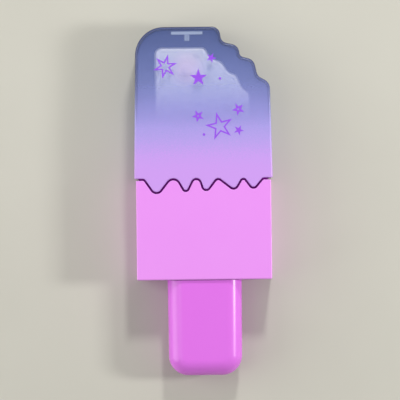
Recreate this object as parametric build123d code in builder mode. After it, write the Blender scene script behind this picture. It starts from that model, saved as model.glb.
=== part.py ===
from build123d import *

import os
from math import radians, tan

# Powder highlighter for make-up, shaped like an ice lolly with a bite out of its tip.
# It lies on its back: +Z is up, out of its front face, and +Y runs from the stick to the
# bitten tip. A clear sleeve cap pulls off along +Y and bares a flat tongue that holds a pan
# of pressed powder. The stick is the handle of a flat brush that pulls out along -Y.
# All sizes are in millimetres, angles in degrees.

# ---- overall sizes -------------------------------------------------------------------
stick_showing = 32.9  # handle, from its end to the foot of the body
body_height = 34.2  # body, from its foot to the level ends of the seam
cap_height = 51.9  # cap, from the level ends of the seam to the tip
body_width = 46.0
body_thickness = 14.0
cap_overhang = 0.55  # the cap's mouth stands out this far past the body, each side
cap_proud = 0.25  # the cap's front face lies this far above the body's
cap_draft = 1.0  # lean of each side of the cap towards the tip

# ---- walls ---------------------------------------------------------------------------
cap_side_wall = 1.0
cap_front_wall = 1.6
cap_back_wall = 1.2
body_side_wall = 1.0
body_foot_wall = 1.2
body_front_plate = 1.6
body_back_plate = 1.4
tray_wall = 1.2
sleeve_wall = 1.1
handle_wall = 2.4

# ---- clearances ----------------------------------------------------------------------
seam_gap = 0.7  # between the cap's mouth and the body, square to the seam
cap_slide_gap = 0.3  # around the sides and end of the tongue, inside the cap
cap_face_gap = 0.3  # above and below the tongue, inside the cap
shell_gap = 0.1  # between a shell and a piece clamped in it
pin_gap = 0.05  # around a locating pin, on the radius
pan_gap = 0.15  # around the pan in its pocket
powder_gap = 0.03  # around the cake of powder in its pan
brush_gap = 0.5  # around the brush in its bore
handle_gap = 0.2  # between the handle's shoulder and the body's foot
grip_touch = 0.05  # between a rubber grip or pad and what slides past it
plug_fit = 0.1  # around the plug's spigot in the handle
ferrule_fit = 0.15  # around the plug's nose and the glue, inside the ferrule

# ---- seam: melting drips -------------------------------------------------------------
# Corners of the wavy part of the seam before rounding: share of the way across the wave,
# height over the level ends, rounding radius. Drips point down and crests point up.
seam_shoulder = 2.8  # level stretch at each side of the body
seam_shoulder_radius = 1.0
seam_corners = [
    (0.101, -5.9, 2.0),
    (0.253, 1.9, 2.35),
    (0.351, -5.15, 1.05),
    (0.446, 2.65, 1.6),
    (0.511, -5.2, 1.35),
    (0.618, 0.5, 1.35),
    (0.764, -4.1, 1.55),
    (0.833, 0.7, 1.0),
    (0.919, -3.95, 1.4),
]
body_seam_radius = 0.15
cap_seam_radius = 0.35

# ---- cap outline: one round corner, and three bites out of the other -------------------
tip_radius = 9.7
# Corners of the bite: in from the cap's side, down from its tip, rounding radius.
bite_corners = [
    (16.85, 0.0, 2.8),
    (16.1, 5.3, 2.65),
    (10.3, 6.45, 3.15),
    (10.0, 10.2, 1.7),
    (5.35, 11.3, 3.3),
    (4.1, 17.0, 2.7),
    (0.0, 19.2, 3.6),
]
cap_edge_radius = 0.7
body_edge_radius = 0.45
joint_chamfer = 0.12  # fine groove where the body's two shells meet

# ---- tongue and powder -----------------------------------------------------------------
neck_hold = 4.8  # length of the tongue's neck below the deepest drip, inside the body
pan_side_margin = 6.5  # from the body's side line to the pan
pan_tip_margin = 6.65  # from the cap's tip to the pan
pan_seam_margin = 6.6  # from the seam to the pan
# Corners of the pan's softer copy of the bite: in from its side, down from its top, radius.
pan_bite_corners = [
    (15.3, 0.0, 2.2),
    (13.6, 3.5, 3.0),
    (9.5, 5.1, 2.5),
    (7.6, 8.3, 3.0),
    (4.5, 9.7, 2.3),
    (2.6, 14.1, 3.6),
    (0.0, 15.9, 1.4),
]
pan_corner_radius = 2.7
powder_recess = 0.45  # powder below the tongue's face
powder_thickness = 2.6
powder_bevel_width = 0.6
powder_bevel_depth = 0.3
pan_sheet = 0.3
pan_rim_drop = 0.35  # pan rim below the powder
glue_thickness = 0.2
glue_inset = 3.0  # glue pad short of the pan's outline
pocket_wall = 1.0
pocket_floor = 1.0

# ---- rubber grip at the tongue's tip, shaped like a T ------------------------------------
grip_bar_width = 11.1
grip_bar_height = 1.4
grip_stem_width = 2.1
grip_stem_height = 2.2
grip_offset = 5.1  # to the left of the centre line
grip_seat = 0.8  # depth of its seat in the tongue
grip_gap = 0.05

# ---- pins, lugs and ribs -----------------------------------------------------------------
pin_radius = 1.1
pin_boss_radius = 2.3
pin_grip = 3.2  # length of a pin inside its socket
body_pin_side = 4.0  # from the body's side to its pins
body_pin_foot = 5.0  # from the body's foot to the lower pins
body_pin_pitch = 12.0
tray_pin_side = 13.0  # from the centre line
tray_pin_low = 5.0  # from the pan's lower edge
tray_pin_pitch = 14.0
lug_width = 6.0
lug_length = 2.0
lug_height = 0.8
lug_side = 13.0  # from the centre line
lug_gap = 0.2
rib_width = 1.2
rib_reach = 4.0  # past the sleeve at each side
rib_room = 2.0  # between the rib and the tongue's neck

# ---- brush -------------------------------------------------------------------------------
handle_width = 25.4
handle_end_narrowing = 0.4  # the handle's end is this much narrower than its shoulder
handle_setback = 1.0  # handle's faces below the body's, front and back
handle_corner_radius = 6.8
handle_edge_radius = 5.4
handle_bore_depth = 24.0
plug_shoulder = 2.05  # step from the handle's side to the plug's side
plug_corner_radius = 2.4
plug_length = 8.0
spigot_length = 11.0
nose_length = 5.0
ferrule_wall = 0.4
ferrule_setback = 0.2  # ferrule's faces inside the plug's
ferrule_length = 10.0
ferrule_bead = 0.2
ferrule_bead_width = 0.9
ferrule_bead_steps = (2.2, 7.4)  # from the ferrule's lower end to its beads
glue_plug_length = 2.0
bristle_room = 2.3  # from the bristles' tip to the pan's pocket
# Sections of the bristle tuft: share of its length, share of its full width and thickness.
tuft_sections = [
    (0.0, 0.93, 0.86),
    (0.16, 0.93, 0.86),
    (0.5, 1.0, 1.0),
    (0.76, 0.96, 0.88),
    (0.92, 0.82, 0.58),
    (1.0, 0.56, 0.26),
]
tuft_roundness = 0.4  # rounding of a section's corners, as a share of its thickness
pad_width = 12.0
pad_length = 5.0
pad_seat = 0.6
pad_gap = 0.05

# ---- levels along Y ------------------------------------------------------------------------
overall_length = stick_showing + body_height + cap_height
stick_end_y = -overall_length / 2
body_foot_y = stick_end_y + stick_showing
seam_y = body_foot_y + body_height
tip_y = seam_y + cap_height
run_past = body_width  # outlines that are trimmed later run this far past the part

# ---- levels along Z ------------------------------------------------------------------------
body_front_inner_z = body_thickness - body_front_plate
core_z = body_thickness / 2  # centre plane of the brush, and the body shells' joint
cap_thickness = body_thickness + cap_proud
cap_front_inner_z = cap_thickness - cap_front_wall
tray_low_z = max(body_back_plate + shell_gap, cap_back_wall + cap_face_gap)
tray_high_z = min(body_front_inner_z - shell_gap, cap_front_inner_z - cap_face_gap)
tray_split_z = (tray_low_z + tray_high_z) / 2
powder_top_z = tray_high_z - powder_recess
powder_low_z = powder_top_z - powder_thickness
pan_low_z = powder_low_z - pan_sheet
pocket_floor_z = pan_low_z - glue_thickness
pocket_under_z = pocket_floor_z - pocket_floor

# ---- widths ----------------------------------------------------------------------------------
mouth_half = body_width / 2 + cap_overhang
body_inner_half = body_width / 2 - body_side_wall
neck_half = body_inner_half - shell_gap
pan_half = body_width / 2 - pan_side_margin
pan_top_y = tip_y - pan_tip_margin
pan_low_y = seam_y + pan_seam_margin

# ---- brush sections ----------------------------------------------------------------------------
bore_width = handle_width - 2 * plug_shoulder + 2 * brush_gap
sleeve_low_z = body_back_plate + shell_gap
sleeve_high_z = body_front_inner_z - shell_gap
sleeve_width = bore_width + 2 * sleeve_wall
bore_thickness = 2 * (min(sleeve_high_z - core_z, core_z - sleeve_low_z) - sleeve_wall)
bore_corner_radius = plug_corner_radius + brush_gap
plug_width = bore_width - 2 * brush_gap
plug_thickness = bore_thickness - 2 * brush_gap
ferrule_inset = ferrule_setback + ferrule_wall
nose_inset = ferrule_inset + ferrule_fit
handle_thickness = body_thickness - 2 * handle_setback
handle_top_y = body_foot_y - handle_gap
plug_top_y = handle_top_y + plug_length
nose_top_y = plug_top_y + nose_length
tuft_root_y = nose_top_y + glue_plug_length
ferrule_top_y = plug_top_y + ferrule_length
tuft_tip_y = pan_low_y - pan_gap - pocket_wall - bristle_room


def side_x(y):
    """Half-width of the cap at height y: its sides lean in towards the tip."""
    return mouth_half - tan(radians(cap_draft)) * (y - seam_y)


def on_seam(edge):
    """True for an edge that runs along the seam, on a broad face of the body or the cap."""
    return deepest_drip_y - seam_gap < edge.center().Y < highest_crest_y + seam_gap


def across(y):
    """Plane square to the brush at height y, with local X along X and local Y along Z."""
    return Plane.XZ.offset(-y)


# ---- shared outlines in plan -------------------------------------------------------------------
wave_half = body_width / 2 - seam_shoulder
seam_points = [(-run_past, seam_y), (-wave_half, seam_y)]
seam_points += [(wave_half * (2 * share - 1), seam_y + rise) for share, rise, _ in seam_corners]
seam_points += [(wave_half, seam_y), (run_past, seam_y)]
seam_radii = [seam_shoulder_radius, *(radius for _, _, radius in seam_corners), seam_shoulder_radius]

# All the ground above the seam, grown by half the seam gap: what the body stays out of.
with BuildSketch() as above_seam:
    with BuildLine():
        seam = FilletPolyline(*seam_points, radius=seam_radii)
        Polyline(seam @ 1, (run_past, tip_y + run_past), (-run_past, tip_y + run_past), seam @ 0)
    make_face()
    offset(amount=seam_gap / 2, kind=Kind.INTERSECTION)

# All the ground below the seam, grown by half the seam gap: what the cap stays out of.
with BuildSketch() as below_seam:
    with BuildLine():
        seam = FilletPolyline(*seam_points, radius=seam_radii)
        Polyline(seam @ 1, (run_past, stick_end_y), (-run_past, stick_end_y), seam @ 0)
    make_face()
    offset(amount=seam_gap / 2, kind=Kind.INTERSECTION)

deepest_drip_y = seam.bounding_box().min.Y
highest_crest_y = seam.bounding_box().max.Y
neck_end_y = deepest_drip_y - neck_hold
lug_y = neck_end_y + neck_hold / 2
rib_y = neck_end_y - rib_room - rib_width

# The cap's outside, run past the mouth.
with BuildSketch() as cap_outline:
    with BuildLine():
        low_y = seam_y - run_past
        bite = [(side_x(tip_y - down) - inward, tip_y - down) for inward, down, _ in bite_corners]
        rim = FilletPolyline(
            (-side_x(low_y), low_y),
            (-side_x(tip_y), tip_y),
            *bite,
            (side_x(low_y), low_y),
            radius=[tip_radius, *(radius for _, _, radius in bite_corners)],
        )
        Line(rim @ 1, rim @ 0)
    make_face()

with BuildSketch() as cap_cavity:
    add(cap_outline.sketch)
    offset(amount=-cap_side_wall, kind=Kind.INTERSECTION)

with BuildSketch() as tongue_outline:
    add(cap_outline.sketch)
    offset(amount=-(cap_side_wall + cap_slide_gap), kind=Kind.INTERSECTION)
    split(bisect_by=Plane.XZ.offset(-seam_y), keep=Keep.BOTTOM)

# The tongue and its neck, which reaches down into the body. The hollow stays a wall inside
# both, and runs out of the neck's end.
with BuildSketch() as tray_outline:
    add(tongue_outline.sketch)
    with Locations((0, seam_y)):
        Rectangle(2 * neck_half, seam_y - neck_end_y, align=(Align.CENTER, Align.MAX))

with BuildSketch() as tray_hollow:
    add(cap_outline.sketch)
    offset(amount=-(cap_side_wall + cap_slide_gap + tray_wall), kind=Kind.INTERSECTION)
    split(bisect_by=Plane.XZ.offset(-seam_y - tray_wall), keep=Keep.BOTTOM)
    with Locations((0, seam_y + tray_wall)):
        Rectangle(
            2 * (neck_half - tray_wall),
            seam_y - neck_end_y + 2 * tray_wall,
            align=(Align.CENTER, Align.MAX),
        )

with BuildSketch() as pan_pocket:
    with BuildLine():
        nibble = [(pan_half - inward, pan_top_y - down) for inward, down, _ in pan_bite_corners]
        FilletPolyline(
            (-pan_half, pan_low_y),
            (-pan_half, pan_top_y),
            *nibble,
            (pan_half, pan_low_y),
            radius=[
                pan_corner_radius,
                pan_corner_radius,
                *(radius for _, _, radius in pan_bite_corners),
                pan_corner_radius,
            ],
            close=True,
        )
    make_face()

with BuildSketch() as pan_outline:
    add(pan_pocket.sketch)
    offset(amount=-pan_gap, kind=Kind.INTERSECTION)

# The T of the grip: a bar flush with the tongue's end, and a stem towards the powder.
grip_top_y = tip_y - cap_side_wall - cap_slide_gap
with BuildSketch() as grip_outline:
    with Locations((-grip_offset, grip_top_y)):
        Rectangle(grip_bar_width, grip_bar_height, align=(Align.CENTER, Align.MAX))
        Rectangle(
            grip_stem_width,
            grip_bar_height + grip_stem_height,
            align=(Align.CENTER, Align.MAX),
        )

# ---- where pins and lugs stand -----------------------------------------------------------------
body_pin_x = body_width / 2 - body_pin_side
body_pins = [
    (side * body_pin_x, body_foot_y + body_pin_foot + step * body_pin_pitch)
    for side in (-1, 1)
    for step in (0, 1)
]
tray_pins = [
    (side * tray_pin_side, pan_low_y + tray_pin_low + step * tray_pin_pitch)
    for side in (-1, 1)
    for step in (0, 1)
]
lugs = [(-lug_side, lug_y), (lug_side, lug_y)]
body_inside_y = body_foot_y + body_foot_wall
rib_length = sleeve_width + 2 * rib_reach

os.makedirs("parts", exist_ok=True)

# ---- body, front shell -------------------------------------------------------------------------
with BuildPart() as body_front:
    with BuildSketch(Plane.XY.offset(core_z)):
        with Locations((0, body_foot_y)):
            Rectangle(body_width, body_height + run_past, align=(Align.CENTER, Align.MIN))
    extrude(amount=body_thickness - core_z)
    upright = body_front.edges().filter_by(Axis.Z).group_by(Axis.Y)[0]
    fillet(upright, radius=body_edge_radius)
    face_edges = body_front.faces().sort_by(Axis.Z)[-1].edges()
    fillet(face_edges.sort_by(Axis.Y)[:-1], radius=body_edge_radius)
    joint_edges = body_front.faces().sort_by(Axis.Z)[0].edges()
    chamfer(joint_edges.sort_by(Axis.Y)[:-1], length=joint_chamfer)
    with BuildSketch(Plane.XY.offset(core_z)):
        with Locations((0, body_inside_y)):
            Rectangle(2 * body_inner_half, body_height + run_past, align=(Align.CENTER, Align.MIN))
    extrude(amount=body_front_inner_z - core_z, mode=Mode.SUBTRACT)
    # ribs, lugs and pins hang from the inside of the plate
    with BuildSketch(Plane.XY.offset(body_front_inner_z)):
        with Locations((0, rib_y)):
            Rectangle(rib_length, rib_width, align=(Align.CENTER, Align.MIN))
    extrude(amount=-(body_front_inner_z - core_z - bore_thickness / 2))
    with BuildSketch(Plane.XY.offset(body_front_inner_z)):
        with Locations(*lugs):
            Rectangle(lug_width, lug_length)
    extrude(amount=-(shell_gap + lug_height))
    with BuildSketch(Plane.XY.offset(body_front_inner_z)):
        with Locations(*body_pins):
            Circle(pin_boss_radius)
    extrude(amount=-(body_front_inner_z - core_z))
    with BuildSketch(Plane.XY.offset(core_z)):
        with Locations(*body_pins):
            Circle(pin_radius)
    extrude(amount=-pin_grip)
    # half of the brush's way in, and the drips
    with BuildSketch(across(body_inside_y)):
        with Locations((0, core_z)):
            RectangleRounded(bore_width, bore_thickness, bore_corner_radius)
    extrude(amount=2 * body_foot_wall, mode=Mode.SUBTRACT)
    add(extrude(above_seam.sketch, amount=cap_thickness, mode=Mode.PRIVATE), mode=Mode.SUBTRACT)
    face_edges = body_front.faces().sort_by(Axis.Z)[-1].edges()
    fillet(face_edges.filter_by(on_seam), radius=body_seam_radius)
body_front.part.label = "body_front"
export_step(body_front.part, "parts/body_front.step")

# ---- body, back shell --------------------------------------------------------------------------
with BuildPart() as body_back:
    with BuildSketch():
        with Locations((0, body_foot_y)):
            Rectangle(body_width, body_height + run_past, align=(Align.CENTER, Align.MIN))
    extrude(amount=core_z)
    upright = body_back.edges().filter_by(Axis.Z).group_by(Axis.Y)[0]
    fillet(upright, radius=body_edge_radius)
    face_edges = body_back.faces().sort_by(Axis.Z)[0].edges()
    fillet(face_edges.sort_by(Axis.Y)[:-1], radius=body_edge_radius)
    joint_edges = body_back.faces().sort_by(Axis.Z)[-1].edges()
    chamfer(joint_edges.sort_by(Axis.Y)[:-1], length=joint_chamfer)
    with BuildSketch(Plane.XY.offset(body_back_plate)):
        with Locations((0, body_inside_y)):
            Rectangle(2 * body_inner_half, body_height + run_past, align=(Align.CENTER, Align.MIN))
    extrude(amount=core_z - body_back_plate, mode=Mode.SUBTRACT)
    with BuildSketch(Plane.XY.offset(body_back_plate)):
        with Locations((0, rib_y)):
            Rectangle(rib_length, rib_width, align=(Align.CENTER, Align.MIN))
    extrude(amount=core_z - bore_thickness / 2 - body_back_plate)
    with BuildSketch(Plane.XY.offset(body_back_plate)):
        with Locations(*lugs):
            Rectangle(lug_width, lug_length)
    extrude(amount=shell_gap + lug_height)
    with BuildSketch(Plane.XY.offset(body_back_plate)):
        with Locations(*body_pins):
            Circle(pin_boss_radius)
    extrude(amount=core_z - body_back_plate)
    with BuildSketch(Plane.XY.offset(core_z)):
        with Locations(*body_pins):
            Circle(pin_radius + pin_gap)
    extrude(amount=-(pin_grip + shell_gap), mode=Mode.SUBTRACT)
    with BuildSketch(across(body_inside_y)):
        with Locations((0, core_z)):
            RectangleRounded(bore_width, bore_thickness, bore_corner_radius)
    extrude(amount=2 * body_foot_wall, mode=Mode.SUBTRACT)
    add(extrude(above_seam.sketch, amount=cap_thickness, mode=Mode.PRIVATE), mode=Mode.SUBTRACT)
    face_edges = body_back.faces().sort_by(Axis.Z)[0].edges()
    fillet(face_edges.filter_by(on_seam), radius=body_seam_radius)
body_back.part.label = "body_back"
export_step(body_back.part, "parts/body_back.step")

# ---- tongue, front half: frame and pocket of the powder ----------------------------------------
with BuildPart() as tray_front:
    with BuildSketch(Plane.XY.offset(tray_split_z)):
        add(tray_outline.sketch)
    extrude(amount=tray_high_z - tray_split_z)
    with BuildSketch(Plane.XY.offset(tray_split_z)):
        add(tray_hollow.sketch)
    extrude(amount=tray_high_z - tray_wall - tray_split_z, mode=Mode.SUBTRACT)
    with BuildSketch(Plane.XY.offset(pocket_under_z)):
        add(pan_pocket.sketch)
        offset(amount=pocket_wall, kind=Kind.INTERSECTION)
    extrude(amount=tray_high_z - tray_wall / 2 - pocket_under_z)
    with BuildSketch(Plane.XY.offset(pocket_floor_z)):
        add(pan_pocket.sketch)
    extrude(amount=tray_high_z - pocket_floor_z, mode=Mode.SUBTRACT)
    with BuildSketch(Plane.XY.offset(pocket_under_z)):
        with Locations(*tray_pins):
            Circle(pin_radius)
    extrude(amount=-pin_grip)
    with BuildSketch(Plane.XY.offset(tray_high_z)):
        with Locations(*lugs):
            Rectangle(lug_width + 2 * lug_gap, lug_length + 2 * lug_gap)
    extrude(amount=-tray_wall, mode=Mode.SUBTRACT)
    with BuildSketch(Plane.XY.offset(tray_high_z)):
        add(grip_outline.sketch)
        offset(amount=grip_gap, kind=Kind.INTERSECTION)
    extrude(amount=-grip_seat, mode=Mode.SUBTRACT)
tray_front.part.label = "tray_front"
export_step(tray_front.part, "parts/tray_front.step")

# ---- tongue, back half -------------------------------------------------------------------------
with BuildPart() as tray_back:
    with BuildSketch(Plane.XY.offset(tray_low_z)):
        add(tray_outline.sketch)
    extrude(amount=tray_split_z - tray_low_z)
    with BuildSketch(Plane.XY.offset(tray_low_z + tray_wall)):
        add(tray_hollow.sketch)
    extrude(amount=tray_split_z - tray_low_z - tray_wall, mode=Mode.SUBTRACT)
    with BuildSketch(Plane.XY.offset(tray_low_z)):
        with Locations(*tray_pins):
            Circle(pin_boss_radius)
    extrude(amount=pocket_under_z - shell_gap - tray_low_z)
    with BuildSketch(Plane.XY.offset(pocket_under_z)):
        with Locations(*tray_pins):
            Circle(pin_radius + pin_gap)
    extrude(amount=-(pin_grip + shell_gap), mode=Mode.SUBTRACT)
    with BuildSketch(Plane.XY.offset(tray_low_z)):
        with Locations(*lugs):
            Rectangle(lug_width + 2 * lug_gap, lug_length + 2 * lug_gap)
    extrude(amount=tray_wall, mode=Mode.SUBTRACT)
tray_back.part.label = "tray_back"
export_step(tray_back.part, "parts/tray_back.step")

# ---- powder, its pan and the glue pad ----------------------------------------------------------
with BuildPart() as powder_pan:
    with BuildSketch(Plane.XY.offset(pan_low_z)):
        add(pan_outline.sketch)
    extrude(amount=powder_top_z - pan_rim_drop - pan_low_z)
    with BuildSketch(Plane.XY.offset(powder_low_z)):
        add(pan_outline.sketch)
        offset(amount=-pan_sheet, kind=Kind.INTERSECTION)
    extrude(amount=powder_thickness, mode=Mode.SUBTRACT)
powder_pan.part.label = "powder_pan"
export_step(powder_pan.part, "parts/powder_pan.step")

with BuildPart() as pressed_powder:
    with BuildSketch(Plane.XY.offset(powder_low_z)):
        add(pan_outline.sketch)
        offset(amount=-(pan_sheet + powder_gap), kind=Kind.INTERSECTION)
    extrude(amount=powder_thickness)
    top_edges = pressed_powder.faces().sort_by(Axis.Z)[-1].edges()
    top_face = pressed_powder.faces().sort_by(Axis.Z)[-1]
    chamfer(top_edges, length=powder_bevel_width, length2=powder_bevel_depth, reference=top_face)
pressed_powder.part.label = "pressed_powder"
export_step(pressed_powder.part, "parts/pressed_powder.step")

with BuildPart() as pan_adhesive:
    with BuildSketch(Plane.XY.offset(pocket_floor_z)):
        add(pan_outline.sketch)
        offset(amount=-glue_inset, kind=Kind.INTERSECTION)
    extrude(amount=glue_thickness)
pan_adhesive.part.label = "pan_adhesive"
export_step(pan_adhesive.part, "parts/pan_adhesive.step")

# ---- rubber grip that holds the cap on ---------------------------------------------------------
with BuildPart() as cap_grip:
    with BuildSketch(Plane.XY.offset(tray_high_z - grip_seat)):
        add(grip_outline.sketch)
    extrude(amount=cap_front_inner_z - grip_touch - (tray_high_z - grip_seat))
cap_grip.part.label = "cap_grip"
export_step(cap_grip.part, "parts/cap_grip.step")

# ---- cap -----------------------------------------------------------------------------------------
with BuildPart() as cap_shell:
    with BuildSketch():
        add(cap_outline.sketch)
    extrude(amount=cap_thickness)
    run_out_edges = cap_shell.faces().sort_by(Axis.Y)[0].edges()
    rim_edges = cap_shell.faces().filter_by(Axis.Z).edges() - run_out_edges
    fillet(rim_edges, radius=cap_edge_radius)
    with BuildSketch(Plane.XY.offset(cap_back_wall)):
        add(cap_cavity.sketch)
    extrude(amount=cap_front_inner_z - cap_back_wall, mode=Mode.SUBTRACT)
    add(extrude(below_seam.sketch, amount=cap_thickness, mode=Mode.PRIVATE), mode=Mode.SUBTRACT)
    broad_faces = cap_shell.faces().sort_by(Axis.Z)
    mouth_edges = broad_faces[0].edges() + broad_faces[-1].edges()
    fillet(mouth_edges.filter_by(on_seam), radius=cap_seam_radius)
cap_shell.part.label = "cap_shell"
export_step(cap_shell.part, "parts/cap_shell.step")

# ---- brush sleeve and its friction pads ----------------------------------------------------------
sleeve_length = rib_y - body_inside_y
pad_y = handle_top_y + plug_length - pad_length / 2
with BuildPart() as brush_sleeve:
    with BuildSketch(across(rib_y)):
        with Locations((0, (sleeve_low_z + sleeve_high_z) / 2)):
            Rectangle(sleeve_width, sleeve_high_z - sleeve_low_z)
    extrude(amount=sleeve_length)
    fillet(brush_sleeve.edges().filter_by(Axis.Y), radius=sleeve_wall)
    with BuildSketch(across(rib_y)):
        with Locations((0, core_z)):
            RectangleRounded(bore_width, bore_thickness, bore_corner_radius)
    extrude(amount=sleeve_length, mode=Mode.SUBTRACT)
    with Locations((0, pad_y, core_z)):
        Box(pad_width, pad_length, bore_thickness + 2 * pad_seat, mode=Mode.SUBTRACT)
brush_sleeve.part.label = "brush_sleeve"
export_step(brush_sleeve.part, "parts/brush_sleeve.step")

pad_thickness = pad_seat + brush_gap - grip_touch
with BuildPart() as friction_pads:
    for side in (-1, 1):
        seat_z = core_z + side * (bore_thickness / 2 + pad_seat)
        with Locations((0, pad_y, seat_z - side * pad_thickness / 2)):
            Box(pad_width - 2 * pad_gap, pad_length - 2 * pad_gap, pad_thickness)
friction_pads.part.label = "friction_pads"
export_step(friction_pads.part, "parts/friction_pads.step")

# ---- brush: handle, plug, ferrule, glue and bristles -----------------------------------------------
def plug_section(inset):
    """Draw the plug's rounded section, shrunk by inset on every side, in the open sketch."""
    with Locations((0, core_z)):
        RectangleRounded(plug_width - 2 * inset, plug_thickness - 2 * inset, plug_corner_radius - inset)


spigot_width = handle_width - 2 * (handle_wall + plug_fit)
spigot_thickness = handle_thickness - 2 * (handle_wall + plug_fit)
with BuildPart() as brush_handle:
    with BuildSketch(Plane.XY.offset(core_z - handle_thickness / 2)):
        with BuildLine():
            end_half = (handle_width - handle_end_narrowing) / 2
            stick = FilletPolyline(
                (-handle_width / 2, handle_top_y),
                (-end_half, stick_end_y),
                (end_half, stick_end_y),
                (handle_width / 2, handle_top_y),
                radius=[handle_corner_radius, handle_corner_radius],
            )
            Line(stick @ 1, stick @ 0)
        make_face()
    extrude(amount=handle_thickness)
    shoulder_edges = brush_handle.faces().sort_by(Axis.Y)[-1].edges()
    long_edges = brush_handle.faces().filter_by(Axis.Z).edges() - shoulder_edges
    fillet(long_edges, radius=handle_edge_radius)
    with BuildSketch(across(handle_top_y)):
        with Locations((0, core_z)):
            RectangleRounded(spigot_width, spigot_thickness, plug_corner_radius)
        offset(amount=plug_fit, kind=Kind.INTERSECTION)
    extrude(amount=handle_bore_depth, mode=Mode.SUBTRACT)
brush_handle.part.label = "brush_handle"
export_step(brush_handle.part, "parts/brush_handle.step")

with BuildPart() as handle_plug:
    with BuildSketch(across(handle_top_y)):
        with Locations((0, core_z)):
            RectangleRounded(spigot_width, spigot_thickness, plug_corner_radius)
    extrude(amount=spigot_length)
    with BuildSketch(across(plug_top_y)):
        plug_section(0)
    extrude(amount=plug_length)
    with BuildSketch(across(nose_top_y)):
        plug_section(nose_inset)
    extrude(amount=nose_length)
handle_plug.part.label = "handle_plug"
export_step(handle_plug.part, "parts/handle_plug.step")

with BuildPart() as ferrule:
    with BuildSketch(across(ferrule_top_y)):
        plug_section(ferrule_setback)
    extrude(amount=ferrule_length)
    for step in ferrule_bead_steps:
        with BuildSketch(across(plug_top_y + step + ferrule_bead_width)):
            plug_section(ferrule_setback - ferrule_bead)
        extrude(amount=ferrule_bead_width)
    with BuildSketch(across(ferrule_top_y)):
        plug_section(ferrule_inset)
    extrude(amount=ferrule_length, mode=Mode.SUBTRACT)
ferrule.part.label = "ferrule"
export_step(ferrule.part, "parts/ferrule.step")

with BuildPart() as bristle_glue:
    with BuildSketch(across(tuft_root_y)):
        plug_section(nose_inset)
    extrude(amount=glue_plug_length)
bristle_glue.part.label = "bristle_glue"
export_step(bristle_glue.part, "parts/bristle_glue.step")

# The tuft swells out of the ferrule, then rounds over to its tip.
tuft_width = plug_width - ferrule_setback
tuft_thickness = plug_thickness - 2 * ferrule_setback
with BuildPart() as bristles:
    for along, wide, thick in tuft_sections:
        with BuildSketch(across(tuft_root_y + along * (tuft_tip_y - tuft_root_y))):
            with Locations((0, core_z)):
                depth = thick * tuft_thickness
                RectangleRounded(wide * tuft_width, depth, tuft_roundness * depth)
    loft()
bristles.part.label = "bristles"
export_step(bristles.part, "parts/bristles.step")
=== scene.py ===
from math import cos, pi, radians, sin

import bpy
import numpy as np
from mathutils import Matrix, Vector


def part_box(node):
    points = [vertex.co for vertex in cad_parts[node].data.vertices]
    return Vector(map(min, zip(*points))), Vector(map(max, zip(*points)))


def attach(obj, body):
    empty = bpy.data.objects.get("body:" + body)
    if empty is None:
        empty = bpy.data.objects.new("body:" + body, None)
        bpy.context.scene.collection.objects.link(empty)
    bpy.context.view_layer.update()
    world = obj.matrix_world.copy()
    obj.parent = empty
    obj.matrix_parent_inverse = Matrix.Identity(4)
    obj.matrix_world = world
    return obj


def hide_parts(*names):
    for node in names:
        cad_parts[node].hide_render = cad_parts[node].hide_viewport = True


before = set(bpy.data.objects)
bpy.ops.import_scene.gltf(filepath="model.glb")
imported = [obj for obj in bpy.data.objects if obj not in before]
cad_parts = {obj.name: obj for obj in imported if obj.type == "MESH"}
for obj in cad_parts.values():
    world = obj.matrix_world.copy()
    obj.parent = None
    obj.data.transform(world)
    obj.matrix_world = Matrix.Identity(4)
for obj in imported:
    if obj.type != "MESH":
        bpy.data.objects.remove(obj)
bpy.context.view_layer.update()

# Looks of a powder highlighter for make-up, shaped like an ice lolly. It lies on its back:
# +Z out of its front face, +Y from the stick to the bitten tip. Lengths are in metres.
MM = 0.001

cap_low, cap_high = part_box("cap_shell")
cake_low, cake_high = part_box("pressed_powder")
tuft_low, tuft_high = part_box("bristles")
grip_low, grip_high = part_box("cap_grip")

CAP_HEIGHT = 51.9 * MM  # from the level ends of the seam to the tip
SEAM_Y = cap_high.y - CAP_HEIGHT


# ---- node helpers --------------------------------------------------------------------------
def fill(tree, socket, value):
    """Feed one input from another socket or a plain value; None leaves it as it is."""
    if isinstance(value, bpy.types.NodeSocket):
        tree.links.new(value, socket)
    elif value is not None:
        socket.default_value = value


def put(tree, kind, *values, **settings):
    """Add a node, set its properties, and feed its inputs in order."""
    node = tree.nodes.new("ShaderNode" + kind)
    for name, value in settings.items():
        setattr(node, name, value)
    for socket, value in zip(node.inputs, values):
        fill(tree, socket, value)
    return node


def calc(tree, operation, *values):
    """One step of arithmetic on sockets or numbers."""
    return put(tree, "Math", *values, operation=operation).outputs[0]


def spread(tree, value, low, high, to_low=0.0, to_high=1.0):
    """Carry value from the range low..high smoothly to the range to_low..to_high, clamped."""
    node = put(tree, "MapRange", value, low, high, to_low, to_high)
    node.interpolation_type = "SMOOTHSTEP"
    return node.outputs[0]


def vary(tree, value, middle, span):
    """Carry value from 0..1 to the range middle - span / 2..middle + span / 2."""
    return calc(tree, "MULTIPLY_ADD", value, span, middle - span / 2)


def noise(tree, place, scale, detail, roughness):
    """Fractal noise from 0 to 1: scale is in patches to a metre, detail in octaves."""
    return put(tree, "TexNoise", place, None, scale, detail, roughness).outputs[0]


def ramp(tree, value, stops):
    """Colour by value through stops of (place, linear colour)."""
    node = put(tree, "ValToRGB", value)
    elements = node.color_ramp.elements
    elements[0].position, elements[0].color = stops[0][0], (*stops[0][1], 1)
    elements[1].position, elements[1].color = stops[-1][0], (*stops[-1][1], 1)
    for place, colour in stops[1:-1]:
        elements.new(place).color = (*colour, 1)
    return node.outputs[0]


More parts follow.
